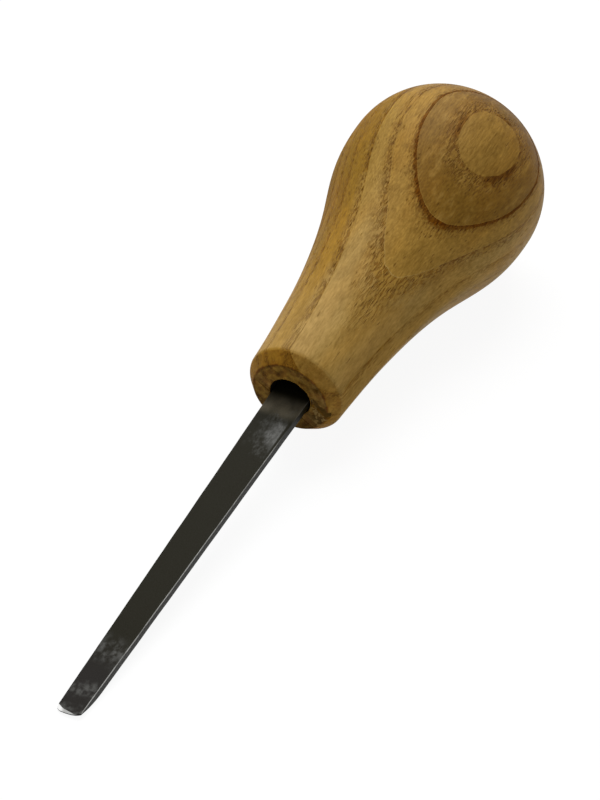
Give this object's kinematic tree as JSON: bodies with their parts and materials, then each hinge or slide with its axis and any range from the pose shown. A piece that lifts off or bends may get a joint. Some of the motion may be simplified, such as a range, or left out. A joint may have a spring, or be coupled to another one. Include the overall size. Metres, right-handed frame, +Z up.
{
  "type": "carving chisel",
  "caption": "Palm carving chisel: a pear-shaped turned wooden handle bored to take a narrow flat black steel blade that tapers to a bevelled cutting edge.",
  "frame": {"origin": "on the table under the middle of the tool's box, with the tool lying on its handle's belly and its bevel", "axes": "+X from the butt towards the cutting edge, +Y across the blade, +Z up, out of the blade's top face"},
  "size_m": [0.1576, 0.04, 0.0401],
  "materials": {
    "oiled_wood": "oiled ring-porous hardwood, satin",
    "black_steel": "black forge scale with a dull sheen, worn bright on the arrises and at the honed edge",
    "cured_resin": "cured amber resin, smooth"
  },
  "bodies": {
    "root": {"handle": "oiled_wood", "blade": "black_steel", "tang_bedding": "cured_resin"}
  },
  "joints": []
}
